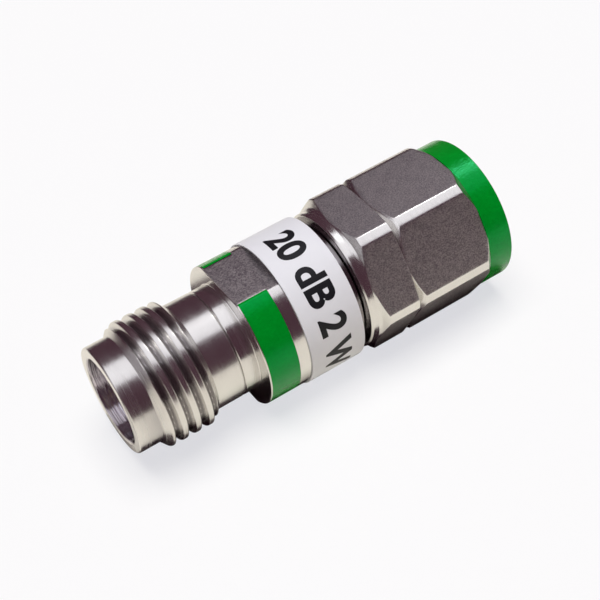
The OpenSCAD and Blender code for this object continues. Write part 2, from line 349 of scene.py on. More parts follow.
def arc_solid(outline, start, end, count):
    """Points and faces of a closed outline carried from one angle to another, with flat ends.

    start and end hold an angle for each point of the outline, so that an end can follow a plane.
    """
    share = np.linspace(0, 1, count)[None, :]
    a = start[:, None] + (end - start)[:, None] * share
    rows = len(outline)
    index = np.arange(rows) * count
    faces = grid_faces(rows, count, True, False).tolist()
    faces.append(index.tolist())
    faces.append((index + count - 1)[::-1].tolist())
    return ring_points(outline[:, :1], outline[:, 1:], a), faces


# Finishes

def node_group(name, inputs, outputs):
    """An empty shader node group with float or vector inputs and float or colour outputs."""
    group = bpy.data.node_groups.new(name, "ShaderNodeTree")
    for socket, kind, value in inputs:
        made = group.interface.new_socket(socket, in_out="INPUT", socket_type=kind)
        if value is not None:
            made.default_value = value
    for socket, kind in outputs:
        group.interface.new_socket(socket, in_out="OUTPUT", socket_type=kind)
    return group, group.nodes.new("NodeGroupInput"), group.nodes.new("NodeGroupOutput")


def math_node(tree, operation, first, second):
    """A Math node; each operand is a socket or a number. Gives its output socket."""
    made = tree.nodes.new("ShaderNodeMath")
    made.operation = operation
    for place, operand in enumerate((first, second)):
        if isinstance(operand, bpy.types.NodeSocket):
            tree.links.new(operand, made.inputs[place])
        else:
            made.inputs[place].default_value = operand
    return made.outputs[0]


def noise_node(tree, vector, scale, detail, roughness):
    """A Noise Texture on a vector socket. Scale is a number, in waves per metre, or a socket."""
    made = tree.nodes.new("ShaderNodeTexNoise")
    tree.links.new(vector, made.inputs["Vector"])
    if isinstance(scale, bpy.types.NodeSocket):
        tree.links.new(scale, made.inputs["Scale"])
    else:
        made.inputs["Scale"].default_value = scale
    made.inputs["Detail"].default_value = detail
    made.inputs["Roughness"].default_value = roughness
    return made.outputs["Fac"]


def stretched(tree, vector, scale):
    """The vector with each axis scaled by its own factor."""
    made = tree.nodes.new("ShaderNodeMapping")
    tree.links.new(vector, made.inputs["Vector"])
    made.inputs["Scale"].default_value = scale
    return made.outputs["Vector"]


def weighted(tree, first, share, second):
    """Two noises in one: the first by its share, the second by the rest."""
    return math_node(tree, "ADD", math_node(tree, "MULTIPLY", first, share),
                     math_node(tree, "MULTIPLY", second, 1 - share))


def turning_marks_group():
    """Fine rings left by the lathe: noise that changes along X and hardly round the axis."""
    group, into, out = node_group(
        "turning_marks",
        [("Vector", "NodeSocketVector", None), ("Waves per metre", "NodeSocketFloat", 9000.0)],
        [("Height", "NodeSocketFloat"), ("Streaks", "NodeSocketFloat")],
    )
    along = stretched(group, into.outputs["Vector"], scale=(1.0, 0.012, 0.012))
    fine = noise_node(group, along, into.outputs["Waves per metre"], detail=3.0, roughness=0.6)
    broad = noise_node(group, along, scale=2600.0, detail=2.0, roughness=0.5)
    group.links.new(fine, out.inputs["Height"])
    group.links.new(weighted(group, fine, 0.45, broad), out.inputs["Streaks"])
    return group


def milled_grain_group():
    """Matt grain of a milled or blasted face: fine specks with a faint drift of larger patches."""
    group, into, out = node_group(
        "milled_grain",
        [("Vector", "NodeSocketVector", None), ("Specks per metre", "NodeSocketFloat", 15000.0)],
        [("Height", "NodeSocketFloat"), ("Specks", "NodeSocketFloat")],
    )
    drawn = stretched(group, into.outputs["Vector"], scale=(0.8, 1.0, 1.0))
    specks = noise_node(group, drawn, into.outputs["Specks per metre"], detail=4.0, roughness=0.7)
    patches = noise_node(group, into.outputs["Vector"], scale=2400.0, detail=3.0, roughness=0.55)
    group.links.new(specks, out.inputs["Height"])
    group.links.new(weighted(group, specks, 0.86, patches), out.inputs["Specks"])
    return group


def handling_group():
    """Soft cloudy marks of handling, from two sizes of noise."""
    group, into, out = node_group(
        "handling_marks",
        [("Vector", "NodeSocketVector", None)],
        [("Cloud", "NodeSocketFloat")],
    )
    large = noise_node(group, into.outputs["Vector"], scale=420.0, detail=3.0, roughness=0.6)
    small = noise_node(group, into.outputs["Vector"], scale=1700.0, detail=4.0, roughness=0.65)
    group.links.new(weighted(group, large, 0.6, small), out.inputs["Cloud"])
    return group


TURNING_MARKS = turning_marks_group()
MILLED_GRAIN = milled_grain_group()
HANDLING = handling_group()


def start_material(name):
    """A new node material: its tree, its Principled shader and its Object coordinates."""
    material = bpy.data.materials.new(name)
    material.use_nodes = True
    tree = material.node_tree
    shader = tree.nodes["Principled BSDF"]
    place = tree.nodes.new("ShaderNodeTexCoord").outputs["Object"]
    return material, tree, shader, place


def use_group(tree, group, place, **values):
    """A group node fed with the coordinates; values set its other inputs by name, with _ for a space."""
    made = tree.nodes.new("ShaderNodeGroup")
    made.node_tree = group
    tree.links.new(place, made.inputs["Vector"])
    for name, value in values.items():
        made.inputs[name.replace("_", " ")].default_value = value
    return made.outputs


def ranged(tree, value, low, high, from_low=0.3, from_high=0.7):
    """A Map Range node from noise values to a low and a high number."""
    made = tree.nodes.new("ShaderNodeMapRange")
    tree.links.new(value, made.inputs["Value"])
    made.inputs["From Min"].default_value = from_low
    made.inputs["From Max"].default_value = from_high
    made.inputs["To Min"].default_value = low
    made.inputs["To Max"].default_value = high
    return made.outputs["Result"]


def colour_mix(tree, share, first, second):
    """A colour that goes from first to second with the share; each is three numbers or a socket."""
    made = tree.nodes.new("ShaderNodeMix")
    made.data_type = "RGBA"
    tree.links.new(share, made.inputs["Factor"])
    for socket, colour in zip((made.inputs[6], made.inputs[7]), (first, second)):
        if isinstance(colour, bpy.types.NodeSocket):
            tree.links.new(colour, socket)
        else:
            socket.default_value = (*colour, 1.0)
    return made.outputs[2]


def value_mix(tree, share, first, second):
    """A number that goes from one socket to another with the share."""
    made = tree.nodes.new("ShaderNodeMix")
    tree.links.new(share, made.inputs["Factor"])
    tree.links.new(first, made.inputs[2])
    tree.links.new(second, made.inputs[3])
    return made.outputs[0]


def bump(tree, shader, height, distance):
    """Feeds a height to the shader's normal; distance is in metres."""
    made = tree.nodes.new("ShaderNodeBump")
    made.inputs["Distance"].default_value = distance
    made.inputs["Strength"].default_value = 1.0
    tree.links.new(height, made.inputs["Height"])
    tree.links.new(made.outputs["Normal"], shader.inputs["Normal"])


# Bumps are in metres; the heights of steel are in units of LATHE_BUMP
LATHE_BUMP = 0.0000012
PLATED_BUMP = 0.0000008
PLASTIC_BUMP = 0.0000015
ENAMEL_BUMP = 0.000014
FILM_BUMP = 0.000001
WAVINESS = 5.0
BORING_DEPTH = 70.0
MILLING_DEPTH = 6.0
JACK_ROUGHNESS = (0.17, 0.31)
BORED_ROUGHNESS = (0.04, 0.09)
TURNED_ROUGHNESS = (0.14, 0.26)
MILLED_ROUGHNESS = (0.34, 0.5)
ENAMEL_ROUGHNESS = (0.12, 0.22)
FILM_ROUGHNESS = (0.4, 0.52)
INK_ROUGHNESS = (0.42, 0.55)
SPECK_EDGES = (0.42, 0.58)
STEEL_LIGHT = (0.73, 0.715, 0.69)
STEEL_DULL = (0.63, 0.612, 0.59)
# Painted shade for the thread's valleys and the relief groove
STEEL_PAINTED_SHADE = (0.3, 0.28, 0.29)
# Painted shade: a darker colour for the whole bore
STEEL_BORE_SHADE = (0.6, 0.56, 0.6)
MILLED_LIGHT = (0.65, 0.62, 0.61)
MILLED_DARK = (0.31, 0.295, 0.315)
ENAMEL_DEEP = (0.0, 0.245, 0.013)
ENAMEL_BRIGHT = (0.0, 0.3, 0.022)
ENAMEL_SPECK = (0.0, 0.21, 0.013)
ENAMEL_GLINT = (0.03, 1.0, 0.42, 1.0)
FILM_LIGHT = (0.77, 0.78, 0.81)
FILM_DULL = (0.71, 0.72, 0.755)
INK_BLACK = (0.002, 0.002, 0.003)
INK_THIN = (0.014, 0.014, 0.017)


def mask(tree, name):
    """One of the piece's own masks: 1 where it is on, 0 where it is off or the piece has no such mask."""
    made = tree.nodes.new("ShaderNodeAttribute")
    made.attribute_name = name
    return made.outputs["Fac"]


def turned_height(tree, marks, cloud):
    """Lathe rings and a slower waviness, as one height in units of the bump's distance."""
    return math_node(tree, "ADD", marks["Height"], math_node(tree, "MULTIPLY", cloud, WAVINESS))


def turned_steel(name):
    """Bright turned stainless steel with lathe rings, deeper ones in the bore, painted shade in the thread
    valleys, and a darker painted shade over the whole bore.
    """
    material, tree, shader, place = start_material(name)
    marks = use_group(tree, TURNING_MARKS, place)
    cloud = use_group(tree, HANDLING, place)["Cloud"]
    shader.inputs["Metallic"].default_value = 1.0
    bored = mask(tree, "bored")
    bright = colour_mix(tree, cloud, STEEL_LIGHT, STEEL_DULL)
    # Painted shade in the thread's valleys and in the relief groove
    outside = colour_mix(tree, mask(tree, "deep"), bright, STEEL_PAINTED_SHADE)
    # Painted shade: the bore takes a darker colour; its roughness and rings are its own finish
    tree.links.new(colour_mix(tree, bored, outside, STEEL_BORE_SHADE), shader.inputs["Base Color"])
    rough = value_mix(tree, bored, ranged(tree, marks["Streaks"], *JACK_ROUGHNESS),
                      ranged(tree, marks["Streaks"], *BORED_ROUGHNESS))
    tree.links.new(rough, shader.inputs["Roughness"])
    height = value_mix(tree, bored, turned_height(tree, marks, cloud),
                       math_node(tree, "MULTIPLY", marks["Height"], BORING_DEPTH))
    bump(tree, shader, height, LATHE_BUMP)
    return material


def part_milled_steel(name):
    """Turned steel with matt milled flats, parted by the milled mask, and darkened with painted shade
    where it lies deep.
    """
    material, tree, shader, place = start_material(name)
    marks = use_group(tree, TURNING_MARKS, place)
    grain = use_group(tree, MILLED_GRAIN, place)
    cloud = use_group(tree, HANDLING, place)["Cloud"]
    milled = mask(tree, "milled")
    bright = colour_mix(tree, cloud, STEEL_LIGHT, STEEL_DULL)
    # Painted shade where the piece lies deep
    turned_colour = colour_mix(tree, mask(tree, "deep"), bright, STEEL_PAINTED_SHADE)
    speck_share = ranged(tree, grain["Specks"], 0.0, 1.0, *SPECK_EDGES)
    milled_colour = colour_mix(tree, speck_share, MILLED_DARK, MILLED_LIGHT)
    shader.inputs["Metallic"].default_value = 1.0
    tree.links.new(colour_mix(tree, milled, turned_colour, milled_colour), shader.inputs["Base Color"])
    rough = value_mix(tree, milled, ranged(tree, marks["Streaks"], *TURNED_ROUGHNESS),
                      ranged(tree, grain["Specks"], *MILLED_ROUGHNESS))
    tree.links.new(rough, shader.inputs["Roughness"])
    height = value_mix(tree, milled, turned_height(tree, marks, cloud),
                       math_node(tree, "MULTIPLY", grain["Height"], MILLING_DEPTH))
    bump(tree, shader, height, LATHE_BUMP)
    return material


def plated_metal(name, light, dull, roughness):
    """Plated contacts and brass pieces: a cloudy tint and a little unevenness in the gloss."""
    material, tree, shader, place = start_material(name)
    marks = use_group(tree, TURNING_MARKS, place, Waves_per_metre=16000.0)
    cloud = use_group(tree, HANDLING, place)["Cloud"]
    shader.inputs["Metallic"].default_value = 1.0
    tree.links.new(colour_mix(tree, cloud, light, dull), shader.inputs["Base Color"])
    tree.links.new(ranged(tree, marks["Streaks"], *roughness), shader.inputs["Roughness"])
    bump(tree, shader, marks["Height"], PLATED_BUMP)
    return material


def moulded_plastic(name, light, dull, roughness):
    """Bead plastic and ceramic: a pale body with faint clouds and a fine dull surface."""
    material, tree, shader, place = start_material(name)
    grain = use_group(tree, MILLED_GRAIN, place, Specks_per_metre=22000.0)
    cloud = use_group(tree, HANDLING, place)["Cloud"]
    tree.links.new(colour_mix(tree, cloud, light, dull), shader.inputs["Base Color"])
    tree.links.new(ranged(tree, grain["Specks"], *roughness), shader.inputs["Roughness"])
    bump(tree, shader, grain["Height"], PLASTIC_BUMP)
    return material


def green_enamel(name):
    """Thick green enamel: small changes of depth, a speckled gloss and a slightly wavy surface."""
    material, tree, shader, place = start_material(name)
    grain = use_group(tree, MILLED_GRAIN, place, Specks_per_metre=7000.0)
    cloud = use_group(tree, HANDLING, place)["Cloud"]
    tint = colour_mix(tree, ranged(tree, cloud, 0.0, 1.0), ENAMEL_DEEP, ENAMEL_BRIGHT)
    speck = colour_mix(tree, ranged(tree, grain["Specks"], 0.0, 1.0), ENAMEL_SPECK, tint)
    tree.links.new(speck, shader.inputs["Base Color"])
    tree.links.new(ranged(tree, grain["Specks"], *ENAMEL_ROUGHNESS), shader.inputs["Roughness"])
    shader.inputs["Specular IOR Level"].default_value = 0.75
    shader.inputs["Specular Tint"].default_value = ENAMEL_GLINT
    bump(tree, shader, grain["Height"], ENAMEL_BUMP)
    return material


def label_film(name):
    """White film: a cool white with faint clouds and a fine soft grain."""
    material, tree, shader, place = start_material(name)
    grain = use_group(tree, MILLED_GRAIN, place, Specks_per_metre=9000.0)
    cloud = use_group(tree, HANDLING, place)["Cloud"]
    tree.links.new(colour_mix(tree, cloud, FILM_LIGHT, FILM_DULL), shader.inputs["Base Color"])
    tree.links.new(ranged(tree, grain["Specks"], *FILM_ROUGHNESS), shader.inputs["Roughness"])
    shader.inputs["Specular IOR Level"].default_value = 0.3
    bump(tree, shader, grain["Height"], FILM_BUMP)
    return material


def print_ink(name):
    """Black printing ink with faint uneven coverage."""
    material, tree, shader, place = start_material(name)
    grain = use_group(tree, MILLED_GRAIN, place, Specks_per_metre=16000.0)
    tree.links.new(colour_mix(tree, grain["Specks"], INK_BLACK, INK_THIN), shader.inputs["Base Color"])
    tree.links.new(ranged(tree, grain["Specks"], *INK_ROUGHNESS), shader.inputs["Roughness"])
    shader.inputs["Specular IOR Level"].default_value = 0.25
    return material


JACK_STEEL = turned_steel("turned_steel")
BARREL_STEEL = part_milled_steel("barrel_steel")
NUT_STEEL = part_milled_steel("nut_steel")
GREEN = green_enamel("green_enamel")
FILM = label_film("label_film")
PRINT_INK = print_ink("print_ink")
GOLD = plated_metal("plated_contact", light=(0.94, 0.70, 0.30), dull=(0.85, 0.60, 0.24),
                    roughness=(0.15, 0.26))
BRASS = plated_metal("plated_brass", light=(0.86, 0.66, 0.34), dull=(0.76, 0.57, 0.28),
                     roughness=(0.23, 0.34))
BRONZE = plated_metal("spring_bronze", light=(0.62, 0.46, 0.33), dull=(0.52, 0.38, 0.27),
                      roughness=(0.25, 0.36))
BEAD_PLASTIC = moulded_plastic("bead_plastic", light=(0.80, 0.75, 0.62), dull=(0.74, 0.68, 0.55),
                               roughness=(0.39, 0.51))
CARD_CERAMIC = moulded_plastic("card_ceramic", light=(0.86, 0.86, 0.83), dull=(0.78, 0.78, 0.76),
                               roughness=(0.44, 0.56))


# Pieces

def jack_shell():
    """The jack: a closed outline round its wall, with a helical thread between pilot and shank."""
    thread_start, thread_end = PILOT_LEN, PILOT_LEN + THREAD_LEN
    seam_x, rear_x = BARREL_LOW[0], JACK_HIGH[0]
    corners = [
        (0, BORE_R + EDGE, FILLET),
        (0, PILOT_R - EDGE, FILLET),
        (EDGE, PILOT_R, FILLET),
        (seam_x - EDGE, PILOT_R, FILLET),
        (seam_x, PILOT_R - EDGE, FILLET),
        (seam_x, SPIGOT_R, INNER_FILLET),
        (rear_x, SPIGOT_R, FILLET),
        (rear_x, SEAT_R, INNER_FILLET),
        (JACK_BEAD_X, SEAT_R, INNER_FILLET),
        (JACK_BEAD_X, LINE_R, INNER_FILLET),
        (MATING_X, LINE_R, INNER_FILLET),
        (MATING_X, BORE_R, INNER_FILLET),
        (EDGE, BORE_R, FILLET),
    ]
    outline = rounded(corners)
    corners_before_thread = 3
    before = corners_before_thread * len(outline) // len(corners)
    rows = np.arange(thread_start - JACK_THREAD_STEP, thread_end + JACK_THREAD_STEP, JACK_THREAD_STEP)
    x = np.concatenate([outline[:before, 0], rows, outline[before:, 0]])[:, None]
    r = np.concatenate([outline[:before, 1], np.full(rows.size, PILOT_R), outline[before:, 1]])[:, None]
    a = around(JACK_SEGMENTS)[None, :]
    r = np.repeat(r, a.size, axis=1)
    here = rows[:, None]
    from_ends = np.minimum(here - thread_start, thread_end - here)
    rise = PILOT_R + RUN_OUT_SLOPE * smooth_max(from_ends, 0, RUN_OUT_BLEND)
    crest = smooth_min(rise, THREAD_R, CREST_BLEND)
    cut = thread_cut(here, a, CREST_PHASE, CREST)
    r[before:before + rows.size] = smooth_min(crest, THREAD_R - cut, THREAD_BLEND)
    # Painted shade in the thread's valleys, darker where the cut is deeper
    deep = np.zeros(r.shape)
    valley_shade = (cut / THREAD_DEPTH - VALLEY_START) * VALLEY_GAIN
    deep[before:before + rows.size] = np.clip(valley_shade, 0, VALLEY_PAINTED_SHADE)
    bored = ((r < BORE_R + EDGE / 2) & (x < MATING_X + EDGE / 2)).astype(float)
    faces = grid_faces(x.size, a.size, True, True).tolist()
    make_piece("jack_body", ring_points(x, r, a), faces, JACK_STEEL, "attenuator", "jack_shell",
               "turned_steel", bored=bored, deep=deep)


def barrel():
    """The barrel: its wall's outline carried round the axis and cut by two wrench flats.

    On the stretch with flats the radius is the smooth smaller one of the outline and the flats' own.
    """
    front_x, rear_x = BARREL_LOW[0] + COLLAR_LEN, BARREL_HIGH[0]
    band_start, band_end = front_x + EDGE, BAND_HIGH[0] + FILM_GAP
    relief_x = LABEL_HIGH[0] + LABEL_RIM
    bore_r = SPIGOT_R + SPIGOT_GAP
    groove_r = BARREL_R - BAND_DEPTH
    outline = rounded([
        (BARREL_LOW[0], bore_r, INNER_FILLET),
        (BARREL_LOW[0], PILOT_R - EDGE, FILLET),
        (BARREL_LOW[0] + EDGE, PILOT_R, FILLET),
        (front_x, PILOT_R, ROOT_FILLET),
        (front_x, BARREL_R - EDGE / 2, SOFT_FILLET),
        (front_x + EDGE / 2, BARREL_R, INNER_FILLET),
        (band_start, BARREL_R, HAIR_FILLET),
        (band_start + GROOVE_WALL, groove_r, HAIR_FILLET),
        (band_end - GROOVE_WALL, groove_r, HAIR_FILLET),
        (band_end, BARREL_R, FILM_FILLET),
        (FLATS_END, BARREL_R, HAIR_FILLET),
        (FLATS_END + GROOVE_WALL, BARREL_R, HAIR_FILLET),
        (relief_x, BARREL_R, SOFT_FILLET),
        (relief_x, RELIEF_R, SOFT_FILLET),
        (rear_x, RELIEF_R, RIM_FILLET),
        (rear_x, bore_r, INNER_FILLET),
    ])
    crease = np.arccos(FLAT_HALF / BARREL_R)
    up, down = np.pi / 2, 3 * np.pi / 2
    creases = [up - crease, up + crease, down - crease, down + crease]
    a = around(BARREL_SEGMENTS, creases)[None, :]
    x, r = outline[:, :1], outline[:, 1:]
    flat = flat_radius(a, FLAT_HALF, sides=2, first=up)
    top = smooth_min(BARREL_R, flat, CREASE)
    face_share = np.clip((r - PILOT_R) / (BARREL_R - PILOT_R), 0, 1)
    on_face = (x < front_x + EDGE / 4) & (r > PILOT_R)
    cut = np.where(on_face, PILOT_R + face_share * (top - PILOT_R), smooth_min(r, flat, CREASE))
    outside = (x < FLATS_END + GROOVE_WALL / 2) & (x > front_x - EDGE / 2) & (r > bore_r + EDGE)
    radius = np.where(outside, cut, np.repeat(r, a.size, axis=1))
    milled = np.where(outside & ~on_face, milled_share(r, flat), 0.0)
    # Painted shade in the relief groove behind the label
    deep = ((x > relief_x - EDGE / 4) & (radius < BARREL_R - EDGE / 2)).astype(float)
    faces = grid_faces(x.size, a.size, True, True).tolist()
    make_piece("barrel_body", ring_points(x, radius, a), faces, BARREL_STEEL, "attenuator", "barrel",
               "barrel_steel", milled=milled, deep=deep)


def barrel_colour_band():
    """Two arcs of enamel in the barrel's groove, each ending in the planes of the wrench flats."""
    x0, x1 = BAND_LOW[0], BAND_HIGH[0]
    inner = BARREL_R - BAND_DEPTH + FILM_GAP
    outline = rounded([
        (x0, inner, HAIR_FILLET),
        (x0, BARREL_R, INNER_FILLET),
        (x1, BARREL_R, INNER_FILLET),
        (x1, inner, HAIR_FILLET),
    ])
    reach = np.arcsin(np.minimum(FLAT_HALF / outline[:, 1], 1))
    front, front_faces = arc_solid(outline, np.pi - reach, np.pi + reach, BAND_SEGMENTS)
    back, back_faces = arc_solid(outline, -reach, reach, BAND_SEGMENTS)
    shifted = [[corner + len(front) for corner in face] for face in back_faces]
    make_piece("barrel_green_band", np.concatenate([front, back]), front_faces + shifted, GREEN,
               "attenuator", "barrel_colour_band", "green_enamel")


def label():
    """The label: a thin closed outline carried nearly once round the barrel, with a seam at the back."""
    x0, x1 = LABEL_LOW[0], LABEL_HIGH[0]
    outer, inner = LABEL_R - INK, BARREL_R + FILM_GAP
    outline = rounded([
        (x0, inner, FILM_FILLET),
        (x0, outer, SOFT_FILLET),
        (x1, outer, SOFT_FILLET),
        (x1, inner, FILM_FILLET),
    ])
    gap = LABEL_SEAM / 2 / outline[:, 1]
    points, faces = arc_solid(outline, gap, TURN - gap, LABEL_SEGMENTS)
    make_piece("label_strip", points, faces, FILM, "attenuator", "label", "label_film")


def label_print():
    """A generic rating in ink: a flat text solid, sliced into narrow strips and bent round the label.

    The reading direction becomes the angle round the barrel, from the top towards the front, and the
    letters' height lies along X.
    """
    letter_size, bold, slice_width = 2.12, 0.07, 0.14
    middle_angle = np.radians(52.0)
    curve = bpy.data.curves.new("label_print", "FONT")
    curve.body = "20 dB 2 W"
    curve.align_x = "CENTER"
    curve.size = letter_size
    curve.offset = bold
    curve.extrude = INK / 2
    curve.resolution_u = 8
    flat_text = bpy.data.objects.new("label_print_flat", curve)
    bpy.context.scene.collection.objects.link(flat_text)
    seen = flat_text.evaluated_get(bpy.context.evaluated_depsgraph_get())
    flat_mesh = bpy.data.meshes.new_from_object(seen)
    bpy.data.objects.remove(flat_text)
    reach = np.abs(mesh_points(flat_mesh)[:, 0]).max()
    work = bmesh.new()
    work.from_mesh(flat_mesh)
    bmesh.ops.remove_doubles(work, verts=work.verts[:], dist=1e-5)
    for cut in np.arange(-reach, reach, slice_width):
        bmesh.ops.bisect_plane(work, geom=work.verts[:] + work.edges[:] + work.faces[:],
                               plane_co=(cut, 0, 0), plane_no=(1, 0, 0))
    work.to_mesh(flat_mesh)
    work.free()
    u, v, w = mesh_points(flat_mesh).T
    v = v - (v.max() + v.min()) / 2
    angle = middle_angle + u / LABEL_R
    radius = LABEL_R - INK / 2 + w
    x = (LABEL_LOW[0] + LABEL_HIGH[0]) / 2 + v
    points = np.stack([x, -radius * np.sin(angle), radius * np.cos(angle)], axis=-1)
    faces = [list(face.vertices) for face in flat_mesh.polygons]
    make_piece("label_lettering", points, faces, PRINT_INK, "attenuator", None, "label_film")


def plug_shell():
    """The plug's outer conductor: spigot, neck with the snap ring's groove, and nose."""
    snap0, snap1 = SNAP_LOW[0] - SNAP_SLACK, SNAP_HIGH[0] + SNAP_SLACK
    outline = rounded([
        (PLUG_LOW[0], SEAT_R, INNER_FILLET),
        (PLUG_LOW[0], SPIGOT_R, FILLET),
        (BARREL_HIGH[0], SPIGOT_R, INNER_FILLET),
        (BARREL_HIGH[0], NECK_R, FILLET),
        (snap0, NECK_R, INNER_FILLET),
        (snap0, SNAP_SEAT_R, INNER_FILLET),
        (snap1, SNAP_SEAT_R, INNER_FILLET),
        (snap1, NECK_R, INNER_FILLET),
        (NOSE_START - EDGE, NECK_R, FILLET),
        (NOSE_START, NECK_R - EDGE, FILLET),
        (NOSE_START, NOSE_R, SOFT_FILLET),
        (NOSE_FACE - EDGE, NOSE_R, FILLET),
        (NOSE_FACE, NOSE_R - EDGE, FILLET),
        (NOSE_FACE, LINE_R, SOFT_FILLET),
        (PLUG_BEAD_X, LINE_R, INNER_FILLET),
        (PLUG_BEAD_X, SEAT_R, INNER_FILLET),
    ])
    lathe_piece("plug_body", outline, PLUG_SEGMENTS, JACK_STEEL, "attenuator", "plug_shell",
                "turned_steel")


def plug_pin():
    """The plug's pin: an open outline carried round the axis, with a point at each end."""
    outline = rounded([
        (PIN_LOW[0], 0, 0),
        (PIN_LOW[0], PIN_NECK_R, INNER_FILLET),
        (PLUG_BEAD_X, PIN_NECK_R, INNER_FILLET),
        (PLUG_BEAD_X, CENTRE_R, INNER_FILLET),
        (NOSE_FACE, CENTRE_R, SOFT_FILLET),
        (NOSE_FACE, PIN_R, INNER_FILLET),
        (PIN_HIGH[0] - PIN_POINT, PIN_R, ROUND_FILLET),
        (PIN_HIGH[0], PIN_TIP_R, TIP_FILLET),
        (PIN_HIGH[0], 0, 0),
    ], closed=False)
    a = around(PIN_SEGMENTS)[None, :]
    rows, columns = len(outline) - 2, a.size
    middle = ring_points(outline[1:-1, :1], outline[1:-1, 1:], a)
    ends = np.array([[outline[0, 0], 0, 0], [outline[-1, 0], 0, 0]])
    j = np.arange(columns)
    j_next = (j + 1) % columns
    last = (rows - 1) * columns
    first_fan = np.stack([np.full(columns, rows * columns), j_next, j], axis=-1)
    last_fan = np.stack([np.full(columns, rows * columns + 1), last + j, last + j_next], axis=-1)
    faces = grid_faces(rows, columns, False, True).tolist() + first_fan.tolist() + last_fan.tolist()
    make_piece("plug_contact_pin", np.concatenate([middle, ends]), faces, GOLD, "attenuator", "plug_pin",
               "plated_contact")


def nut_turned(x):
    """Radius of the nut's turned outline at x.

    It is the larger one of collar, bevel and rear cone, cut down to the smaller one of that, the corners'
    radius, the mark groove's two walls and the front cone. Every crease between them is rounded.
    """
    cone = COLLAR_R + (x - HEX_X) * REAR_SLOPE
    bevel = COLLAR_R + (x - BEVEL_X) * BEVEL_SLOPE
    rear = smooth_max(smooth_max(cone, bevel, COLLAR_BLEND), COLLAR_R, COLLAR_BLEND)
    walls = np.maximum((GROOVE_X - x) * GROOVE_SLOPES[0], (x - GROOVE_X) * GROOVE_SLOPES[1])
    groove = smooth_max(GROOVE_R + walls, GROOVE_R + GROOVE_FLOOR, COLLAR_BLEND)
    front = RING_R + (RING_LOW[0] - x) * FRONT_SLOPE
    return smooth_min(smooth_min(rear, CORNER_R, CREASE), smooth_min(groove, front, CREASE), CREASE)


def nut_outside(a):
    """Places, radii and milled mask of the nut's outside at the angles a.

    The radius is the smooth smaller one of the turned outline at x and the hexagon at the angle. The rows
    are stretched at each angle so that they follow the creases where cones and groove meet the flats.
    """
    hexagon = flat_radius(a, NUT_FLAT, HEX_SIDES, FIRST_FLAT)
    top = np.minimum(hexagon, CORNER_R)
    groove_rise = np.maximum(top - GROOVE_R, SLIVER)
    stations = [
        np.full(a.shape, BEVEL_FOOT),
        np.full(a.shape, BEVEL_TOP),
        HEX_X + (top - COLLAR_R) / REAR_SLOPE,
        GROOVE_X - groove_rise / GROOVE_SLOPES[0],
        np.full(a.shape, GROOVE_X),
        GROOVE_X + groove_rise / GROOVE_SLOPES[1],
        RING_LOW[0] - np.maximum((top - RING_R) / FRONT_SLOPE, SLIVER),
        np.full(a.shape, RING_LOW[0]),
    ]
    share = eased(ROWS_A_LEG)[:, None]
    legs = [begin + (end - begin) * share[:-1] for begin, end in zip(stations, stations[1:])]
    x = np.concatenate(legs + [stations[-1]])
    turned = nut_turned(x)
    return x, smooth_min(turned, hexagon, CREASE), milled_share(turned, hexagon)


def coupling_nut():
    """The coupling nut: a hexagon blended with turned cones outside, thread and grooves inside.

    Inside, the outline is turned, and the thread is cut outwards from its core.
    """
    half_strip = np.arccos(NUT_FLAT / CORNER_R)
    flats = FIRST_FLAT + np.arange(HEX_SIDES) * TURN / HEX_SIDES
    a = around(NUT_SEGMENTS, np.concatenate([flats - half_strip, flats + half_strip]))[None, :]
    outer_x, outer_r, outer_milled = nut_outside(a)
    rear_x, front_x = NUT_LOW[0], NUT_HIGH[0]
    groove0, groove1 = SNAP_LOW[0] - SNAP_GROOVE_SLACK, SNAP_HIGH[0] + SNAP_GROOVE_SLACK
    mouth = rounded([
        (RING_LOW[0] + SLIVER, RING_SEAT_R, 0),
        (front_x, RING_SEAT_R, FILLET),
        (front_x, NUT_CORE_R + MOUTH, FILLET),
        (front_x - MOUTH, NUT_CORE_R, 0),
    ], closed=False)
    thread_x = np.arange(front_x - MOUTH - NUT_THREAD_STEP, NOSE_START + NUT_THREAD_STEP, -NUT_THREAD_STEP)
    inside = rounded([
        (NOSE_START, NUT_CORE_R, 0),
        (NOSE_START, NUT_BORE_R, INNER_FILLET),
        (groove1, NUT_BORE_R, INNER_FILLET),
        (groove1, SNAP_GROOVE_R, INNER_FILLET),
        (groove0, SNAP_GROOVE_R, INNER_FILLET),
        (groove0, NUT_BORE_R, INNER_FILLET),
        (rear_x, NUT_BORE_R, FILLET),
        (rear_x, COLLAR_R - REAR_EDGE_DEPTH, SOFT_FILLET),
        (rear_x + REAR_EDGE_LEN, COLLAR_R, SOFT_FILLET),
        (BEVEL_FOOT - SLIVER, COLLAR_R, 0),
    ], closed=False)
    fade = np.clip((thread_x - NOSE_START) / PITCH, 0, 1)[:, None]
    groove_depth = (THREAD_DEPTH - thread_cut(thread_x[:, None], a, 0.0, INNER_ROOT)) * fade
    thread_r = NUT_CORE_R + np.maximum(groove_depth, 0)
    wide = np.ones(a.shape)
    x = np.concatenate([outer_x, mouth[:, :1] * wide, thread_x[:, None] * wide, inside[:, :1] * wide])
    r = np.concatenate([outer_r, mouth[:, 1:] * wide, thread_r, inside[:, 1:] * wide])
    milled = np.zeros(x.shape)
    milled[:len(outer_x)] = outer_milled
    faces = grid_faces(len(x), a.size, True, True).tolist()
    make_piece("coupling_nut_body", ring_points(x, r, a), faces, NUT_STEEL, "nut", "coupling_nut",
               "nut_steel", milled=milled)


def nut_colour_ring():
    """The enamelled ring at the nut's mouth: a thin outline with a round front edge."""
    x0, x1 = RING_LOW[0], RING_HIGH[0]
    inner = RING_SEAT_R + FILM_GAP
    outline = rounded([
        (x0, inner, FILM_FILLET),
        (x0, RING_R, SOFT_FILLET),
        (x1, RING_R, ROUND_FILLET),
        (x1, inner, FILM_FILLET),
    ])
    lathe_piece("nut_green_ring", outline, RING_SEGMENTS, GREEN, "nut", "nut_colour_ring",
                "green_enamel")


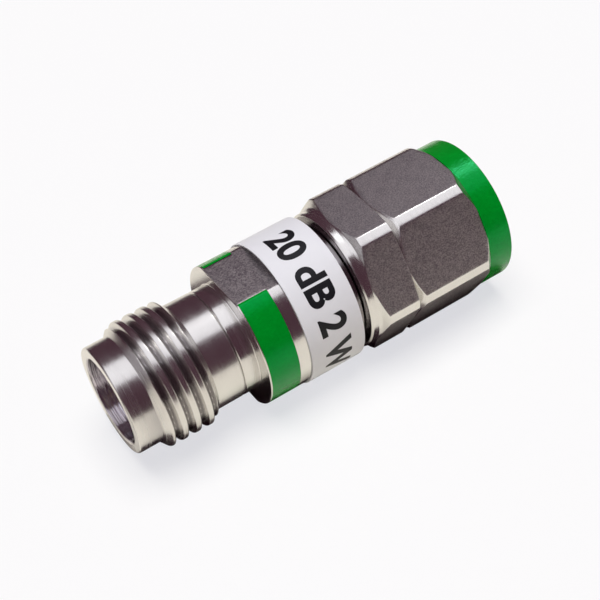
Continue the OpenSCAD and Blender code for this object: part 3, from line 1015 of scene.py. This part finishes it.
def finish_inner_solids():
    """Finishes for the solids inside the part, which keep their own shapes."""
    finishes = {
        "jack_bead": BEAD_PLASTIC,
        "plug_bead": BEAD_PLASTIC,
        "jack_sleeve": BRASS,
        "plug_sleeve": BRASS,
        "carrier_lower": BRASS,
        "carrier_upper": BRASS,
        "jack_contact": GOLD,
        "jack_stub": GOLD,
        "plug_stub": GOLD,
        "attenuator_card": CARD_CERAMIC,
        "retaining_ring": BRONZE,
    }
    for node, material in finishes.items():
        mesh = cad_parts[node].data
        mesh.materials.clear()
        mesh.materials.append(material)


# Floor, light and camera

FLOOR_LIFT = 0.7
FLOOR_HALF = 1500.0
FLOOR_LIGHT = (0.93, 0.91, 0.81)
FLOOR_DULL = (0.91, 0.89, 0.79)
FLOOR_GLOW = (0.96, 0.97, 1.02, 1.0)
SHEET_LIFT = 0.02
SHEET_HALF = 900.0
# Colours of the dark frame and of the painted shadow strips
SHEET_DARK = (0.05, 0.03, 0.04)
SHEET_LIGHT = (0.07, 0.04, 0.055)


def rectangle(x0, y0, x1, y1):
    """The four corners of a level rectangle, in millimetres."""
    return np.array([[x0, y0], [x1, y0], [x1, y1], [x0, y1]])


def level_mesh(name, corners, height, faces):
    """A mesh of level faces at one height, from corners in millimetres."""
    mesh = bpy.data.meshes.new(name)
    points = np.column_stack([corners, np.full(len(corners), height)])
    mesh.from_pydata((points * MM).tolist(), [], faces)
    return mesh


def pale_floor():
    """A wide pale floor just under the part: warm in the steel, and nearly shadowless to the camera."""
    corners = rectangle(-FLOOR_HALF, -FLOOR_HALF, FLOOR_HALF, FLOOR_HALF)
    mesh = level_mesh("floor", corners, CAD_BOX[0][2] / MM, [[0, 1, 2, 3]])
    material, tree, shader, place = start_material("pale_floor")
    cloud = use_group(tree, HANDLING, place)["Cloud"]
    tree.links.new(colour_mix(tree, cloud, FLOOR_LIGHT, FLOOR_DULL), shader.inputs["Base Color"])
    shader.inputs["Roughness"].default_value = 1.0
    shader.inputs["Specular IOR Level"].default_value = 0.0
    white = tree.nodes.new("ShaderNodeEmission")
    white.inputs["Color"].default_value = FLOOR_GLOW
    sight = tree.nodes.new("ShaderNodeLightPath").outputs["Is Camera Ray"]
    either = tree.nodes.new("ShaderNodeMixShader")
    tree.links.new(math_node(tree, "MULTIPLY", sight, FLOOR_LIFT), either.inputs[0])
    tree.links.new(shader.outputs[0], either.inputs[1])
    tree.links.new(white.outputs[0], either.inputs[2])
    tree.links.new(either.outputs[0], tree.nodes["Material Output"].inputs["Surface"])
    mesh.materials.append(material)
    floor = bpy.data.objects.new("floor", mesh)
    bpy.context.scene.collection.objects.link(floor)


def dark_surround_and_painted_shadow():
    """Dark sheets that show only in gloss: a frame round the lit floor, and strips near the part that are
    painted shadow, the part's own shadow on the floor as its reflections see it.
    """
    hole = rectangle(-60.0, -48.0, 90.0, 34.0)
    rim = rectangle(-SHEET_HALF, -SHEET_HALF, SHEET_HALF, SHEET_HALF)
    # Painted shadow: strips under and beside the part, where its shadow falls on the floor
    shadow_under_barrel = rectangle(-0.5, -3.1, 13.2, 3.1)
    shadow_under_nut = rectangle(13.2, -5.4, 23.2, 5.4)
    shadow_before_jack = rectangle(-32.0, -3.3, -4.0, 3.3)
    shadow_behind_flange = rectangle(2.0, 6.4, 8.2, 8.8)
    corners = np.concatenate([hole, rim, shadow_under_barrel, shadow_under_nut, shadow_before_jack, shadow_behind_flange])
    quads = [[k, k + 4, (k + 1) % 4 + 4, (k + 1) % 4] for k in range(4)]
    quads += [[k, k + 1, k + 2, k + 3] for k in range(8, len(corners), 4)]
    mesh = level_mesh("dark_surround_and_painted_shadow", corners, CAD_BOX[0][2] / MM + SHEET_LIFT, quads)
    material, tree, shader, place = start_material("dark_card_and_painted_shadow")
    cloud = use_group(tree, HANDLING, place)["Cloud"]
    tree.links.new(colour_mix(tree, cloud, SHEET_DARK, SHEET_LIGHT), shader.inputs["Base Color"])
    shader.inputs["Roughness"].default_value = 1.0
    shader.inputs["Specular IOR Level"].default_value = 0.0
    mesh.materials.append(material)
    sheet = bpy.data.objects.new("dark_surround_and_painted_shadow", mesh)
    bpy.context.scene.collection.objects.link(sheet)
    sheet.visible_camera = False
    sheet.visible_diffuse = False
    sheet.visible_shadow = False


def soft_light(name, place, size, radiance, colour, in_gloss, turn=0.0):
    """A rectangular light in metres that faces down, or is turned about Y. Power: radiance, area and pi.

    It shows either in gloss alone, or in the diffuse light alone.
    """
    lamp = bpy.data.lights.new(name, "AREA")
    lamp.shape = "RECTANGLE"
    lamp.size, lamp.size_y = size
    lamp.energy = radiance * lamp.size * lamp.size_y * np.pi
    lamp.color = colour
    light = bpy.data.objects.new(name, lamp)
    light.location = place
    light.rotation_euler = (0.0, turn, 0.0)
    light.visible_glossy = in_gloss
    light.visible_diffuse = not in_gloss
    bpy.context.scene.collection.objects.link(light)


def studio_light():
    """A softbox, a small lamp and a side card that show in gloss, a fill that doesn't, and a dark room."""
    soft_light("softbox", (-0.275, -0.0095, 0.5), size=(2.65, 0.435), radiance=1.15,
               colour=(0.95, 0.98, 1.03), in_gloss=True)
    soft_light("overhead_fill", (0.0, -0.05, 1.2), size=(0.8, 0.8), radiance=8.2,
               colour=(0.99, 0.995, 1.0), in_gloss=False)
    soft_light("small_lamp", (0.283, 0.107, 0.499), size=(0.05, 0.05), radiance=40.0,
               colour=(1.0, 1.0, 1.0), in_gloss=True)
    soft_light("side_card", (-0.5, 0.16, 0.1), size=(0.2, 0.32), radiance=0.34,
               colour=(0.94, 1.0, 1.04), in_gloss=True, turn=-np.pi / 2)
    world = bpy.data.worlds.new("studio")
    world.use_nodes = True
    tree = world.node_tree
    room = tree.nodes["Background"]
    room.inputs["Color"].default_value = (0.085, 0.042, 0.058, 1.0)
    backdrop = tree.nodes.new("ShaderNodeBackground")
    backdrop.inputs["Color"].default_value = (0.92, 0.92, 0.92, 1.0)
    path = tree.nodes.new("ShaderNodeLightPath")
    either = tree.nodes.new("ShaderNodeMixShader")
    tree.links.new(path.outputs["Is Camera Ray"], either.inputs[0])
    tree.links.new(room.outputs[0], either.inputs[1])
    tree.links.new(backdrop.outputs[0], either.inputs[2])
    tree.links.new(either.outputs[0], tree.nodes["World Output"].inputs["Surface"])
    bpy.context.scene.world = world
    bpy.context.scene.view_settings.view_transform = "Standard"


def camera():
    """The camera at the photograph's viewing angle, from its place, its right and its up direction."""
    place = Vector((-11.895, -47.648, 51.660)) * MM
    right = Vector((0.83265, -0.54029, -0.12162))
    up = Vector((0.45561, 0.54346, 0.70504))
    back = right.cross(up)
    lens = bpy.data.cameras.new("camera")
    lens.sensor_width = 36.0
    lens.lens = 84.12
    lens.clip_start = 0.001
    lens.clip_end = 20.0
    view = bpy.data.objects.new("camera", lens)
    view.matrix_world = Matrix.Translation(place) @ Matrix((right, up, back)).transposed().to_4x4()
    bpy.context.scene.collection.objects.link(view)
    bpy.context.scene.camera = view


camera()
pale_floor()
dark_surround_and_painted_shadow()
studio_light()
jack_shell()
barrel()
barrel_colour_band()
label()
label_print()
plug_shell()
plug_pin()
coupling_nut()
nut_colour_ring()
finish_inner_solids()
